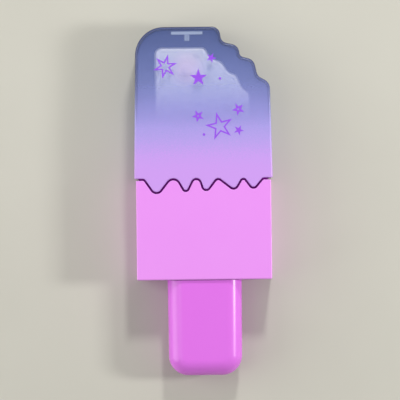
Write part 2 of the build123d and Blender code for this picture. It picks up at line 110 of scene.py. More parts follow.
def blend_colours(tree, share, first, second):
    """Mix two colours, each a socket or a linear colour."""
    node = put(tree, "Mix", share, data_type="RGBA")
    for socket, colour in zip(node.inputs[6:8], (first, second)):
        fill(tree, socket, (*colour, 1) if isinstance(colour, tuple) else colour)
    return node.outputs[2]


def blend_values(tree, share, first, second):
    """Mix two numbers or sockets of one value."""
    return put(tree, "Mix", share, None, first, second).outputs[0]


def start_group(name, inputs, outputs):
    """Open a shader node group with float or vector inputs and float outputs."""
    tree = bpy.data.node_groups.new(name, "ShaderNodeTree")
    for label, kind, value in inputs:
        socket = tree.interface.new_socket(label, in_out="INPUT", socket_type="NodeSocket" + kind)
        socket.default_value = value
    for label in outputs:
        tree.interface.new_socket(label, in_out="OUTPUT", socket_type="NodeSocketFloat")
    source = tree.nodes.new("NodeGroupInput").outputs
    sink = tree.nodes.new("NodeGroupOutput").inputs
    return tree, source, sink


def use_group(tree, group, **values):
    """Place a group in a material and feed its named inputs; names are given with underscores."""
    node = put(tree, "Group", node_tree=group)
    for name, value in values.items():
        fill(tree, node.inputs[name.replace("_", " ").capitalize()], value)
    return node.outputs


# ---- shared surface effects ----------------------------------------------------------------
DRIFT_SIZE = 14 * MM  # of the slow unevenness of shade
SCRATCH_LINES = ((radians(24), 0.12), (radians(-61), 0.16))  # turn, noise scale along the line
SCRATCH_HALF_WIDTH = 0.006  # off the noise's middle value
CLOUD_SCALE = 0.35  # of a speck's: a cloud spans about three specks


def make_grain_group():
    """Moulded skin: Height of a fine grain, and Drift, a slow unevenness from 0 to 1."""
    tree, source, sink = start_group(
        "moulded_grain",
        [("Place", "Vector", (0, 0, 0)), ("Grain size", "Float", 0.2 * MM)],
        ["Height", "Drift"],
    )
    scale = calc(tree, "DIVIDE", 1.0, source["Grain size"])
    fine = noise(tree, source["Place"], scale, detail=3.0, roughness=0.55)
    slow = noise(tree, source["Place"], 1 / DRIFT_SIZE, detail=2.0, roughness=0.5)
    tree.links.new(fine, sink["Height"])
    tree.links.new(slow, sink["Drift"])
    return tree


def make_edge_group():
    """Mask along the edges of a box: there, two of the three distances to its sides are short.

    Each nearness is 1 - distance / width, held between 0 and 1; the mask adds their products."""
    tree, source, sink = start_group(
        "rubbed_edges",
        [
            ("Place", "Vector", (0, 0, 0)),
            ("Middle", "Vector", (0, 0, 0)),
            ("Half size", "Vector", (0.01, 0.01, 0.01)),
            ("Width", "Float", 0.5 * MM),
        ],
        ["Mask"],
    )
    offset = put(tree, "VectorMath", source["Place"], source["Middle"], operation="SUBTRACT")
    depth = put(tree, "VectorMath", offset.outputs[0], operation="ABSOLUTE")
    inside = put(tree, "VectorMath", source["Half size"], depth.outputs[0], operation="SUBTRACT")
    axes = put(tree, "SeparateXYZ", inside.outputs[0]).outputs
    near = []
    for axis in axes:
        ratio = calc(tree, "DIVIDE", axis, source["Width"])
        step = put(tree, "Math", 1.0, ratio, operation="SUBTRACT", use_clamp=True)
        near.append(step.outputs[0])
    pairs = [calc(tree, "MULTIPLY", near[i], near[i - 1]) for i in range(3)]
    total = calc(tree, "ADD", calc(tree, "ADD", pairs[0], pairs[1]), pairs[2])
    tree.links.new(put(tree, "Clamp", total).outputs[0], sink["Mask"])
    return tree


def make_scratch_group():
    """Fine handling scratches: thin lines where two stretched noises cross their middle value."""
    tree, source, sink = start_group(
        "fine_scratches",
        [("Place", "Vector", (0, 0, 0)), ("Spacing", "Float", 3 * MM)],
        ["Mask"],
    )
    scale = calc(tree, "DIVIDE", 1.0, source["Spacing"])
    lines = []
    for turn, lengthwise in SCRATCH_LINES:
        placed = put(tree, "Mapping", source["Place"], None, (0, 0, turn), (1, lengthwise, 1))
        streaks = noise(tree, placed.outputs[0], scale, detail=2.0, roughness=0.6)
        off_middle = calc(tree, "ABSOLUTE", calc(tree, "SUBTRACT", streaks, 0.5))
        lines.append(spread(tree, off_middle, 0.0, SCRATCH_HALF_WIDTH, 1.0, 0.0))
    tree.links.new(calc(tree, "MAXIMUM", *lines), sink["Mask"])
    return tree


def make_speckle_group():
    """Specks: a random value from 0 to 1 for each small cell, and a soft cloud of them."""
    tree, source, sink = start_group(
        "fine_specks",
        [("Place", "Vector", (0, 0, 0)), ("Speck size", "Float", 0.15 * MM)],
        ["Speck", "Cloud"],
    )
    scale = calc(tree, "DIVIDE", 1.0, source["Speck size"])
    cells = put(tree, "TexVoronoi", source["Place"], None, scale)
    cloud_scale = calc(tree, "MULTIPLY", scale, CLOUD_SCALE)
    cloud = noise(tree, source["Place"], cloud_scale, detail=4.0, roughness=0.7)
    tree.links.new(put(tree, "SeparateXYZ", cells.outputs["Color"]).outputs[0], sink["Speck"])
    tree.links.new(cloud, sink["Cloud"])
    return tree


grain_group = make_grain_group()
edge_group = make_edge_group()
scratch_group = make_scratch_group()
speckle_group = make_speckle_group()


# ---- materials -----------------------------------------------------------------------------
def new_material(name, **constants):
    """Material with one Principled shader: it, its tree, the shader and Object coordinates."""
    material = bpy.data.materials.new(name)
    material.use_nodes = True
    tree = material.node_tree
    shader = tree.nodes["Principled BSDF"]
    for label, value in constants.items():
        shader.inputs[label.replace("_", " ")].default_value = value
    place = tree.nodes.new("ShaderNodeTexCoord").outputs["Object"]
    return material, tree, shader, place


def feed(tree, shader, label, socket):
    """Link a socket to the shader's input of that name."""
    tree.links.new(socket, shader.inputs[label])


def add_bump(tree, shader, height, distance):
    """Relief of the shader's surface: height, from 0 to 1, times distance."""
    bump = put(tree, "Bump", 1.0, distance)
    tree.links.new(height, bump.inputs["Height"])
    feed(tree, shader, "Normal", bump.outputs[0])


RUBBED_WIDTH = 0.45 * MM
RUBBED_PALER = 0.22  # shares of the pale colour that a rubbed edge and a scratch add
SCRATCH_PALER = 0.003
SCRATCH_SPACING = 4 * MM
SCRATCH_ROUGHER = 0.006
GRAIN_ROUGHNESS = 0.08  # span of roughness from the grain's floor to its top


def moulded_material(
    name, colour, pale, box, roughness, grain_size, grain_depth, drift_by, **constants
):
    """Moulded plastic: slow drift of shade, edges rubbed paler, scratches and a fine grain.

    The share of the pale colour is drift_by * drift + RUBBED_PALER * edge + SCRATCH_PALER *
    scratch. Box is the middle and half size of the moulding, as box_frame gives them."""
    material, tree, shader, place = new_material(name, **constants)
    middle, half = box
    grain = use_group(tree, grain_group, place=place, grain_size=grain_size)
    edges = use_group(
        tree, edge_group, place=place, middle=middle, half_size=half, width=RUBBED_WIDTH
    )
    scratches = use_group(tree, scratch_group, place=place, spacing=SCRATCH_SPACING)
    paler = calc(tree, "MULTIPLY", grain["Drift"], drift_by)
    paler = calc(tree, "MULTIPLY_ADD", edges["Mask"], RUBBED_PALER, paler)
    paler = calc(tree, "MULTIPLY_ADD", scratches["Mask"], SCRATCH_PALER, paler)
    share = put(tree, "Clamp", paler).outputs[0]
    feed(tree, shader, "Base Color", blend_colours(tree, share, colour, pale))
    rough = vary(tree, grain["Height"], roughness, GRAIN_ROUGHNESS)
    rough = calc(tree, "MULTIPLY_ADD", scratches["Mask"], SCRATCH_ROUGHER, rough)
    feed(tree, shader, "Roughness", rough)
    add_bump(tree, shader, grain["Height"], grain_depth)
    return material


def paint_shade_on_foot(material, colour, full_y, end_y):
    """Blend a second colour over the first: whole up to full_y, gone from end_y on."""
    tree = material.node_tree
    base = tree.nodes["Principled BSDF"].inputs["Base Color"]
    y = put(tree, "SeparateXYZ", tree.nodes["Texture Coordinate"].outputs["Object"]).outputs[1]
    share = spread(tree, y, full_y, end_y)
    tree.links.new(blend_colours(tree, share, colour, base.links[0].from_socket), base)


# Paint of the cap, by place along it: 0 at the level ends of the seam, 1 at the tip.
MOUTH_PAINT = [
    (0.06, (0.620, 0.332, 0.870)),
    (0.15, (0.585, 0.337, 0.860)),
    (0.26, (0.460, 0.340, 0.810)),
]
FRONT_PAINT = [
    *MOUTH_PAINT,
    (0.40, (0.355, 0.325, 0.745)),
    (0.65, (0.315, 0.370, 0.820)),
    (1.0, (0.245, 0.350, 0.850)),
]
# Sides and back: the spray, darkened towards the tip with painted shade of the dark tray and the
# shaded floor seen through the wall.
SIDE_SPRAY_AND_SHADE = [
    *MOUTH_PAINT,
    (0.40, (0.345, 0.320, 0.730)),
    (0.55, (0.245, 0.278, 0.615)),
    (0.78, (0.156, 0.192, 0.425)),
    (1.0, (0.085, 0.112, 0.265)),
]
FRONT_COVER = [  # alpha of one skin of the wall
    (0.34, 1.0),
    (0.44, 0.72),
    (0.54, 0.50),
    (0.65, 0.34),
    (0.78, 0.26),
    (0.90, 0.18),
    (1.0, 0.150),
]
SIDE_COVER = (0.38, 0.80, 1.0, 0.92)  # from and to place, from and to alpha
# Painted shade along the rounded edge around the tip, where the clear wall is seen edge-on.
RIM_PAINTED_SHADE = (0.020, 0.025, 0.085)
RIM_SHADE_SHARE = (0.35, 0.72, 0.0, 0.78)  # from and to place, from and to share of the rim's painted shade
RIM_FACING = (0.05, 0.35)  # upright part of the normal: the rim's painted shade sets in, and is full
FRONT_FACING = (0.88, 0.99)  # the same, for the front's paint
SPECK_SPRAY = 0.07  # how far specks, clouds of specks and drift shift the fades
CLOUD_SPRAY = 0.16
DRIFT_SPRAY = 0.03
LIGHT_COVER = 0.5  # share of the cover that rays carrying light meet: thin paint passes them on
SKIN_ROUGHNESS = (0.25, 0.60, 0.34, 0.16)  # from and to place, from and to roughness
FRONT_ROUGHER = 0.10
SPECK_ROUGHER = 0.08


def make_sprayed_clear():
    """Clear plastic with two sprays faded into each other: blue at the tip, pink at the mouth.

    On the front the blue is thin and lets the tongue show; towards the mouth it thickens until
    nothing shows. Sides and back carry more paint than the front, and their colour darkens
    towards the tip with painted shade, of the dark tray and the shaded floor seen through the
    wall; the rounded edge around the tip has the darkest painted shade. A line of sight crosses
    two skins of the wall, each with this alpha, so the wall covers 1 - (1 - alpha)^2 of what lies
    behind it."""
    material, tree, shader, place = new_material("sprayed_clear", IOR=1.49)
    specks = use_group(tree, speckle_group, place=place, speck_size=0.2 * MM)
    grain = use_group(tree, grain_group, place=place, grain_size=0.35 * MM)
    axes = put(tree, "SeparateXYZ", place).outputs
    along = calc(tree, "DIVIDE", calc(tree, "SUBTRACT", axes[1], SEAM_Y), cap_high.y - SEAM_Y)
    sprayed = calc(tree, "ADD", along, vary(tree, specks["Speck"], 0, SPECK_SPRAY))
    sprayed = calc(tree, "ADD", sprayed, vary(tree, specks["Cloud"], 0, CLOUD_SPRAY))
    drifted = calc(tree, "ADD", along, vary(tree, grain["Drift"], 0, DRIFT_SPRAY))

    skin_normal = put(tree, "SeparateXYZ", tree.nodes["Texture Coordinate"].outputs["Normal"])
    facing = calc(tree, "ABSOLUTE", skin_normal.outputs[2])
    level = spread(tree, facing, *FRONT_FACING)
    upper = calc(tree, "GREATER_THAN", axes[2], (cap_low.z + cap_high.z) / 2)
    front = calc(tree, "MULTIPLY", level, upper)
    rounded = spread(tree, facing, *RIM_FACING)
    rounded = calc(tree, "MULTIPLY", rounded, calc(tree, "SUBTRACT", 1.0, level))
    # Painted shade of the rounded edge, strongest towards the tip.
    rim_shade = calc(tree, "MULTIPLY", rounded, spread(tree, along, *RIM_SHADE_SHARE))

    side_spray_and_shade = blend_colours(tree, rim_shade, ramp(tree, sprayed, SIDE_SPRAY_AND_SHADE), RIM_PAINTED_SHADE)
    front_paint = ramp(tree, sprayed, FRONT_PAINT)
    feed(tree, shader, "Base Color", blend_colours(tree, front, side_spray_and_shade, front_paint))

    front_cover = ramp(tree, drifted, [(stop, (alpha,) * 3) for stop, alpha in FRONT_COVER])
    cover = blend_values(tree, front, spread(tree, drifted, *SIDE_COVER), front_cover)
    path = tree.nodes.new("ShaderNodeLightPath").outputs
    carrying = calc(tree, "MAXIMUM", path["Is Shadow Ray"], path["Is Diffuse Ray"])
    met = calc(tree, "MULTIPLY_ADD", carrying, LIGHT_COVER - 1.0, 1.0)
    feed(tree, shader, "Alpha", calc(tree, "MULTIPLY", cover, met))

    rough = spread(tree, along, *SKIN_ROUGHNESS)
    rough = calc(tree, "MULTIPLY_ADD", front, FRONT_ROUGHER, rough)
    rough = calc(tree, "MULTIPLY_ADD", specks["Speck"], SPECK_ROUGHER, rough)
    feed(tree, shader, "Roughness", rough)
    add_bump(tree, shader, grain["Height"], 0.002 * MM)
    return material


POWDER_SHADES = (0.70, 0.735, 0.695), (0.785, 0.765, 0.76)
# Painted sheen: a warm pink pearl highlight around the pressed round mark.
PAINTED_SHEEN_POWDER = (1.0, 0.79, 0.80)
PAINTED_SHEEN_REACH = (1.5 * MM, 8 * MM)  # from the mark's centre: painted sheen full as far as, gone at
# Painted highlight on the cake's flat border, paler than the pressed field.
BORDER_PAINTED_HIGHLIGHT = (0.88, 0.86, 0.83)
BORDER_HIGHLIGHT_SHARE = 0.3
FLAKE_POWDER = (1.0, 0.93, 0.96)
FLAKE_SPECKS = (0.93, 0.98)  # specks from here up turn into flakes
POWDER_ROUGHNESS, POWDER_SHINE = 0.55, 0.06
FLAKE_ROUGHNESS, FLAKE_SHINE = -0.15, 0.2  # what a flake adds to them
CLOUD_RELIEF = 0.6  # height of a cloud of specks, as a share of a speck's


def make_powder():
    """Pressed pearl powder: pale grey with bright flakes; painted pink sheen around the pressed
    round mark, and a painted highlight on its flat border.
    """
    material, tree, shader, place = new_material(
        "pearl_powder", Specular_IOR_Level=0.6, Sheen_Weight=0.15
    )
    specks = use_group(tree, speckle_group, place=place, speck_size=0.09 * MM)
    grain = use_group(tree, grain_group, place=place, grain_size=0.25 * MM)
    reach = put(tree, "VectorMath", place, (*MARK_CENTRE, cake_high.z), operation="DISTANCE")
    painted_sheen = spread(tree, reach.outputs["Value"], *PAINTED_SHEEN_REACH, 1.0, 0.0)
    powder = blend_colours(tree, grain["Drift"], *POWDER_SHADES)
    powder = blend_colours(tree, painted_sheen, powder, PAINTED_SHEEN_POWDER)
    # Painted highlight along the flat border.
    border = put(tree, "Attribute", attribute_name="cake_border").outputs["Fac"]
    border = calc(tree, "MULTIPLY", border, BORDER_HIGHLIGHT_SHARE)
    powder = blend_colours(tree, border, powder, BORDER_PAINTED_HIGHLIGHT)
    flake = spread(tree, specks["Speck"], *FLAKE_SPECKS)
    feed(tree, shader, "Base Color", blend_colours(tree, flake, powder, FLAKE_POWDER))
    rough = calc(tree, "MULTIPLY_ADD", flake, FLAKE_ROUGHNESS, POWDER_ROUGHNESS)
    feed(tree, shader, "Roughness", rough)
    shine = calc(tree, "MULTIPLY_ADD", flake, FLAKE_SHINE, POWDER_SHINE)
    feed(tree, shader, "Metallic", shine)
    height = calc(tree, "MULTIPLY_ADD", specks["Cloud"], CLOUD_RELIEF, specks["Speck"])
    add_bump(tree, shader, height, 0.010 * MM)
    return material


LINE_SQUEEZE = 40  # how much longer than wide a drawn line is
LINE_SHADE = 0.8  # of the metal's colour


def make_bright_metal(name, colour, roughness, step):
    """Drawn aluminium: fine lines around the piece, from noise squeezed along Y."""
    material, tree, shader, place = new_material(name, Metallic=1.0)
    squeezed = put(tree, "Mapping", place, None, None, (1, LINE_SQUEEZE, 1))
    lines = noise(tree, squeezed.outputs[0], 1 / step, detail=3.0, roughness=0.6)
    darker = tuple(LINE_SHADE * part for part in colour)
    feed(tree, shader, "Base Color", blend_colours(tree, lines, darker, colour))
    feed(tree, shader, "Roughness", vary(tree, lines, roughness, span=0.14))
    add_bump(tree, shader, lines, 0.004 * MM)
    return material


def make_soft_rubber(name, colour, pale, roughness):
    """Rubber or resin: clouded shade and a soft, uneven skin."""
    material, tree, shader, place = new_material(name)
    grain = use_group(tree, grain_group, place=place, grain_size=0.4 * MM)
    feed(tree, shader, "Base Color", blend_colours(tree, grain["Height"], colour, pale))
    feed(tree, shader, "Roughness", vary(tree, grain["Drift"], roughness, span=0.16))
    add_bump(tree, shader, grain["Height"], 0.012 * MM)
    return material


GRIP_BAR = 1.4 * MM  # height of the bar of the T
GRIP_STEM = 2.1 * MM  # width of its stem
GRIP_HAZE = 0.4 * MM  # in from the outline, where the haze is full
GRIP_STEM_SHARE = 0.6
GRIP_CLEAREST = 0.12  # alpha without haze
GRIP_HAZIEST = 0.92  # and with the whole of it


def make_clear_grip():
    """Clear rubber, shaped like a T: almost clear at its outline, and hazed in its middle.

    The haze is the larger of two, of the bar and of the stem; each is the product of how far
    the place lies inside each side of that rectangle, from 0 on the side to 1 at GRIP_HAZE. The
    stem, which is thinner, has GRIP_STEM_SHARE of the haze."""
    material = make_soft_rubber("grip_clear", (0.43, 0.49, 0.54), (0.53, 0.59, 0.64), 0.5)
    tree = material.node_tree
    x, y, _ = put(tree, "SeparateXYZ", tree.nodes["Texture Coordinate"].outputs["Object"]).outputs
    off_centre = calc(tree, "ABSOLUTE", calc(tree, "SUBTRACT", x, (grip_low.x + grip_high.x) / 2))
    hazes = []
    for half, low, high, share in (
        ((grip_high.x - grip_low.x) / 2, grip_high.y - GRIP_BAR, grip_high.y, 1.0),
        (GRIP_STEM / 2, grip_low.y, grip_high.y, GRIP_STEM_SHARE),
    ):
        inside = spread(tree, calc(tree, "SUBTRACT", half, off_centre), 0.0, GRIP_HAZE)
        over = spread(tree, calc(tree, "SUBTRACT", y, low), 0.0, GRIP_HAZE)
        under = spread(tree, calc(tree, "SUBTRACT", high, y), 0.0, GRIP_HAZE)
        across = calc(tree, "MULTIPLY", inside, share)
        hazes.append(calc(tree, "MULTIPLY", across, calc(tree, "MULTIPLY", over, under)))
    haze = calc(tree, "MAXIMUM", *hazes)
    alpha = calc(tree, "MULTIPLY_ADD", haze, GRIP_HAZIEST - GRIP_CLEAREST, GRIP_CLEAREST)
    feed(tree, tree.nodes["Principled BSDF"], "Alpha", alpha)
    return material


INK_SHADES = (0.29, 0.070, 0.76), (0.34, 0.092, 0.85)


def make_print_ink():
    """Screen-printed ink: violet, almost even, with a very fine uneven skin."""
    material, tree, shader, place = new_material("violet_ink")
    specks = use_group(tree, speckle_group, place=place, speck_size=0.12 * MM)
    feed(tree, shader, "Base Color", blend_colours(tree, specks["Cloud"], *INK_SHADES))
    feed(tree, shader, "Roughness", vary(tree, specks["Speck"], 0.43, span=0.1))
    add_bump(tree, shader, specks["Cloud"], 0.004 * MM)
    return material


FIBRE_SHADES = (0.72, 0.66, 0.72), (0.92, 0.88, 0.92)
FIBRE_PINK = (0.88, 0.42, 0.80)
FIBRE_BLUSH = (0.45, 0.95, 0.0, 0.7)  # from and to share of the tuft's length, and of the pink


def make_fibre():
    """Bristle fibre: white at the root, blushing pink at the tip, each hair its own shade."""
    material, tree, shader, place = new_material("bristle_fibre", Sheen_Weight=0.3)
    y = put(tree, "SeparateXYZ", place).outputs[1]
    along = calc(tree, "DIVIDE", calc(tree, "SUBTRACT", y, tuft_low.y), tuft_high.y - tuft_low.y)
    shade = put(tree, "Attribute", attribute_name="hair_shade").outputs["Fac"]
    plain = blend_colours(tree, shade, *FIBRE_SHADES)
    blush = spread(tree, along, *FIBRE_BLUSH)
    feed(tree, shader, "Base Color", blend_colours(tree, blush, plain, FIBRE_PINK))
    feed(tree, shader, "Roughness", vary(tree, shade, 0.45, span=0.2))
    return material


# ---- meshes --------------------------------------------------------------------------------
def add_mesh(name, points, faces, material, sharp_from=None):
    """Turn points and faces into an object; edges sharper than sharp_from stay sharp."""
    mesh = bpy.data.meshes.new(name)
    mesh.from_pydata(np.asarray(points).tolist(), [], [list(face) for face in faces])
    mesh.materials.append(material)
    if sharp_from is not None:
        mesh.polygons.foreach_set("use_smooth", np.ones(len(mesh.polygons), bool))
        mesh.set_sharp_from_angle(angle=sharp_from)
    piece = bpy.data.objects.new(name, mesh)
    bpy.context.scene.collection.objects.link(piece)
    return piece


def add_values(piece, name, values):
    """Store a number with each point of a mesh, for its material to read."""
    attribute = piece.data.attributes.new(name, "FLOAT", "POINT")
    attribute.data.foreach_set("value", np.asarray(values, np.float32))


def side_directions(place):
    """Unit vectors along the sides of a closed outline, each towards the corner it ends at."""
    side = place - np.roll(place, 1, axis=0)
    return side / np.linalg.norm(side, axis=1)[:, None]


def rounded_outline(corners, steps):
    """Points along a closed outline of straight runs joined by arcs, anticlockwise.

    A corner is (x, y, radius). Its arc starts radius * tan(turn / 2) before the corner, and its
    centre lies that far along, one radius to the inside of the turn."""
    place, radius = corners[:, :2], corners[:, 2]
    incoming = side_directions(place)
    outgoing = np.roll(incoming, -1, axis=0)
    cross = incoming[:, 0] * outgoing[:, 1] - incoming[:, 1] * outgoing[:, 0]
    turn = np.arctan2(cross, (incoming * outgoing).sum(1))
    back = radius * np.tan(np.abs(turn) / 2)
    inside = np.sign(turn)[:, None] * np.stack([-incoming[:, 1], incoming[:, 0]], 1)
    centre = place - back[:, None] * incoming + radius[:, None] * inside
    share = np.linspace(0, 1, steps)
    angle = np.arctan2(-inside[:, 1], -inside[:, 0])[:, None] + share * turn[:, None]
    spoke = np.stack([np.cos(angle), np.sin(angle)], 2)
    return (centre[:, None] + radius[:, None, None] * spoke).reshape(-1, 2)


def resample(points, count):
    """Even steps along a closed outline."""
    closed = np.vstack([points, points[:1]])
    step = np.linalg.norm(np.diff(closed, axis=0), axis=1)
    length = np.concatenate([[0], np.cumsum(step)])
    at = np.linspace(0, length[-1], count, endpoint=False)
    return np.stack([np.interp(at, length, closed[:, i]) for i in (0, 1)], 1)


def at_height(outline, z):
    """Points of a flat outline, all at one height or each at its own."""
    return np.column_stack([outline, np.full(len(outline), z)])


def ring_faces(rings, count):
    """Quads between rings of count points: facing up where anticlockwise rings lead inwards."""
    ring, step = np.meshgrid(np.arange(rings - 1), np.arange(count), indexing="ij")
    after = (step + 1) % count
    outer, inner = ring * count, (ring + 1) * count
    quads = np.stack([outer + step, outer + after, inner + after, inner + step], 2)
    return quads.reshape(-1, 4)


def fan_faces(first, count, centre, upward=True):
    """Triangles from a ring of points to its centre point."""
    step = np.arange(count)
    after = (step + 1) % count
    pair = (step, after) if upward else (after, step)
    return np.stack([first + pair[0], first + pair[1], np.full(count, centre)], 1)


# ---- powder cake ---------------------------------------------------------------------------
# Corners of the pan's pocket: in from its side, down from its top, rounding radius.
PAN_NIBBLE = [
    (15.3, 0.0, 2.2),
    (13.6, 3.5, 3.0),
    (9.5, 5.1, 2.5),
    (7.6, 8.3, 3.0),
    (4.5, 9.7, 2.3),
    (2.6, 14.1, 3.6),
    (0.0, 15.9, 1.4),
]
PAN_CORNER_RADIUS = 2.7
SMALLEST_RADIUS = 0.05  # of a corner, however far in its outline lies
# Insets of the cake, in millimetres: of its edge from the pocket's outline, and from that edge.
CAKE_INSET = 0.48
CAKE_BEVEL_WIDTH = 0.6
CAKE_BORDER = 1.05  # flat as far as this
CAKE_FIELD = 1.5  # where the pressed field starts
CAKE_BEVEL_DEPTH = 0.3 * MM
CAKE_FIELD_DEPTH = 0.12 * MM
CAKE_POINTS = 720  # around the outline
CAKE_ARC_POINTS = 12  # on each rounded corner, before they are spaced evenly
CAKE_EDGE_RINGS = 7  # over the rounded edge, and as many over the step down to the field
CAKE_STEP_FOOT_RINGS = 3  # of those on the step, with the field's colour
CAKE_FIELD_RINGS = 90
CAKE_CENTRE_SHIFT = (-1 * MM, -2 * MM)  # of the rings' centre, off the middle of the cake
MARK_CENTRE = (-5.2 * MM, SEAM_Y + 37.5 * MM)
MARK_RINGS = [(5.4 * MM, 0.06 * MM), (6.9 * MM, 0.05 * MM), (2.2 * MM, 0.04 * MM)]  # radius, depth
MARK_GROOVE = 0.6 * MM  # half-width of a pressed ring
MARK_FADE = 0.05  # share of the way in from the field's edge over which the mark sets in


def cake_relief(x, y):
    """Depth pressed below the cake's face: rings around the mark, each a bell of exp(-(d/w)^2)."""
    reach = np.hypot(x - MARK_CENTRE[0], y - MARK_CENTRE[1])
    depth = 0
    for radius, deepest in MARK_RINGS:
        depth = depth + deepest * np.exp(-(((reach - radius) / MARK_GROOVE) ** 2))
    return depth


def inset_corners(corners, inset):
    """Corners (x, y, radius) of an anticlockwise outline that lies inset inside the first one.

    With n and m the inward normals of a corner's two sides, the corner moves by
    inset * (n + m) / (1 + n . m). Its radius shrinks by inset at a left turn, and grows at a
    right turn."""
    place, radius = corners[:, :2], corners[:, 2]
    incoming = side_directions(place)
    n = np.stack([-incoming[:, 1], incoming[:, 0]], 1)
    m = np.roll(n, -1, axis=0)
    moved = place + inset * (n + m) / (1 + (n * m).sum(1))[:, None]
    left_turn = n[:, 0] * m[:, 1] - n[:, 1] * m[:, 0] > 0
    fitted = np.maximum(radius + np.where(left_turn, -inset, inset), SMALLEST_RADIUS)
    return np.column_stack([moved, fitted])


def pocket_corners():
    """Corners (x, y, radius) of the pan's pocket, in millimetres, anticlockwise."""
    half = cake_high.x / MM + CAKE_INSET
    top = cake_high.y / MM + CAKE_INSET
    low = cake_low.y / MM - CAKE_INSET
    nibble = [(half - inward, top - down, radius) for inward, down, radius in reversed(PAN_NIBBLE)]
    return np.array([
        (-half, low, PAN_CORNER_RADIUS),
        (half, low, PAN_CORNER_RADIUS),
        *nibble,
        (-half, top, PAN_CORNER_RADIUS),
    ])


def make_cake(material):
    """Cake of powder: rings of its outline, each at its own inset and height.

    The edge is rounded by a quarter wave, and the flat border falls to the pressed field by half
    a wave. From there the rings shrink to the centre, centre + s * (ring - centre)."""
    corners = pocket_corners()

    def cake_ring(inset, z):
        outline = rounded_outline(inset_corners(corners, CAKE_INSET + inset), CAKE_ARC_POINTS)
        return at_height(resample(outline, CAKE_POINTS) * MM, z)

    rings = [cake_ring(0, cake_low.z)]
    for share in np.linspace(0, 1, CAKE_EDGE_RINGS):
        drop = CAKE_BEVEL_DEPTH * (1 - sin(share * pi / 2))
        rings.append(cake_ring(share * CAKE_BEVEL_WIDTH, cake_high.z - drop))
    for share in np.linspace(0, 1, CAKE_EDGE_RINGS):
        drop = CAKE_FIELD_DEPTH * (1 - cos(share * pi)) / 2
        inset = CAKE_BORDER + share * (CAKE_FIELD - CAKE_BORDER)
        rings.append(cake_ring(inset, cake_high.z - drop))
    border_rings = len(rings) - CAKE_STEP_FOOT_RINGS
    field_z = cake_high.z - CAKE_FIELD_DEPTH
    field_edge = rings[-1][:, :2]
    centre = np.array([
        (cake_low.x + cake_high.x) / 2 + CAKE_CENTRE_SHIFT[0],
        (cake_low.y + cake_high.y) / 2 + CAKE_CENTRE_SHIFT[1],
    ])
    for share in np.linspace(1, 0, CAKE_FIELD_RINGS)[1:-1]:
        inner = centre + share * (field_edge - centre)
        fade = min(1.0, (1 - share) / MARK_FADE)
        rings.append(at_height(inner, field_z - fade * cake_relief(inner[:, 0], inner[:, 1])))
    middle = [*centre, field_z - cake_relief(*centre)]
    foot = [*centre, cake_low.z]
    points = np.vstack([*rings, middle, foot])
    faces = [
        *ring_faces(len(rings), CAKE_POINTS),
        *fan_faces((len(rings) - 1) * CAKE_POINTS, CAKE_POINTS, len(points) - 2),
        *fan_faces(0, CAKE_POINTS, len(points) - 1, upward=False),
    ]
    piece = add_mesh("powder_cake", points, faces, material, sharp_from=radians(50))
    add_values(piece, "cake_border", np.arange(len(points)) < border_rings * CAKE_POINTS)
    return piece


# ---- printed stars -------------------------------------------------------------------------
INK_PROUD = 0.02 * MM
INK_SUNK = 0.03 * MM
# Stars of the print, in millimetres and degrees: centre x, centre y over the seam, tips,
# reach, turn, share of the reach at the waist, scale of the hole (0 for a solid star).
STARS = [
    (-12.60, 38.43, 6, 4.30, 16.0, 0.385, 0.62),
    (-1.32, 34.53, 5, 3.05, 90.0, 0.39, 0.0),
    (3.11, 41.25, 5, 1.76, 65.5, 0.40, 0.0),
    (12.14, 23.67, 5, 2.25, 45.0, 0.40, 0.25),
    (-1.61, 21.50, 5, 2.20, 43.5, 0.40, 0.25),
    (5.72, 17.93, 5, 5.00, 103.0, 0.375, 0.67),
    (12.20, 16.55, 5, 1.81, 63.8, 0.40, 0.0),
]
DOTS = [(5.99, 34.2, 0.44), (0.35, 15.2, 0.46)]  # centre x, centre y over the seam, radius
DOT_TIPS = 12  # a dot is a star of so many tips, whose waists reach as far as they do


def star_outline(x, y, tips, reach, turn, waist):
    """Corners of a regular star: tips at reach, waists at waist * reach, half a step between."""
    corner = np.arange(2 * tips)
    angle = radians(turn) + corner * pi / tips
    radius = np.where(corner % 2 == 0, reach, waist * reach)
    return np.stack([x + radius * np.cos(angle), y + radius * np.sin(angle)], 1)


def ink_prism(outline, centre, hole):
    """Closed slab over an outline, solid or with the same outline cut out of it, scaled by hole.

    With a hole, the faces run around four rings of points and back to the first."""
    count = len(outline)
    high, low = cap_high.z + INK_PROUD, cap_high.z - INK_SUNK
    wall = [at_height(outline, low), at_height(outline, high)]
    if hole:
        inner = centre + hole * (outline - centre)
        points = np.vstack([*wall, at_height(inner, high), at_height(inner, low)])
        return points, ring_faces(5, count) % len(points)
    points = np.vstack([*wall, [*centre, high], [*centre, low]])
    faces = [
        *ring_faces(2, count),
        *fan_faces(count, count, 2 * count),
        *fan_faces(0, count, 2 * count + 1, upward=False),
    ]
    return points, faces


def make_print(material):
    """All the printed stars and dots as one sheet of thin slabs on the cap's front face."""
    dots = [(x, y, DOT_TIPS, radius, 0.0, 1.0, 0.0) for x, y, radius in DOTS]
    all_points, all_faces, used = [], [], 0
    seam = np.array([0, SEAM_Y])
    for x, y, tips, reach, turn, waist, hole in STARS + dots:
        outline = star_outline(x, y, tips, reach, turn, waist)
        points, faces = ink_prism(outline * MM + seam, np.array([x, y]) * MM + seam, hole)
        all_points.append(points)
        all_faces += [[index + used for index in face] for face in faces]
        used += len(points)
    return add_mesh("star_print", np.vstack(all_points), all_faces, material)


# ---- bristles ------------------------------------------------------------------------------
HAIRS = 2400
HAIR_SIDES = 3
HAIR_RINGS = 7
HAIR_RADIUS = 0.085 * MM
HAIR_TAPER = 0.75  # share of the radius lost at the end
HAIR_SWAY = 0.25 * MM  # usual drift at the end of a hair as long as the tuft
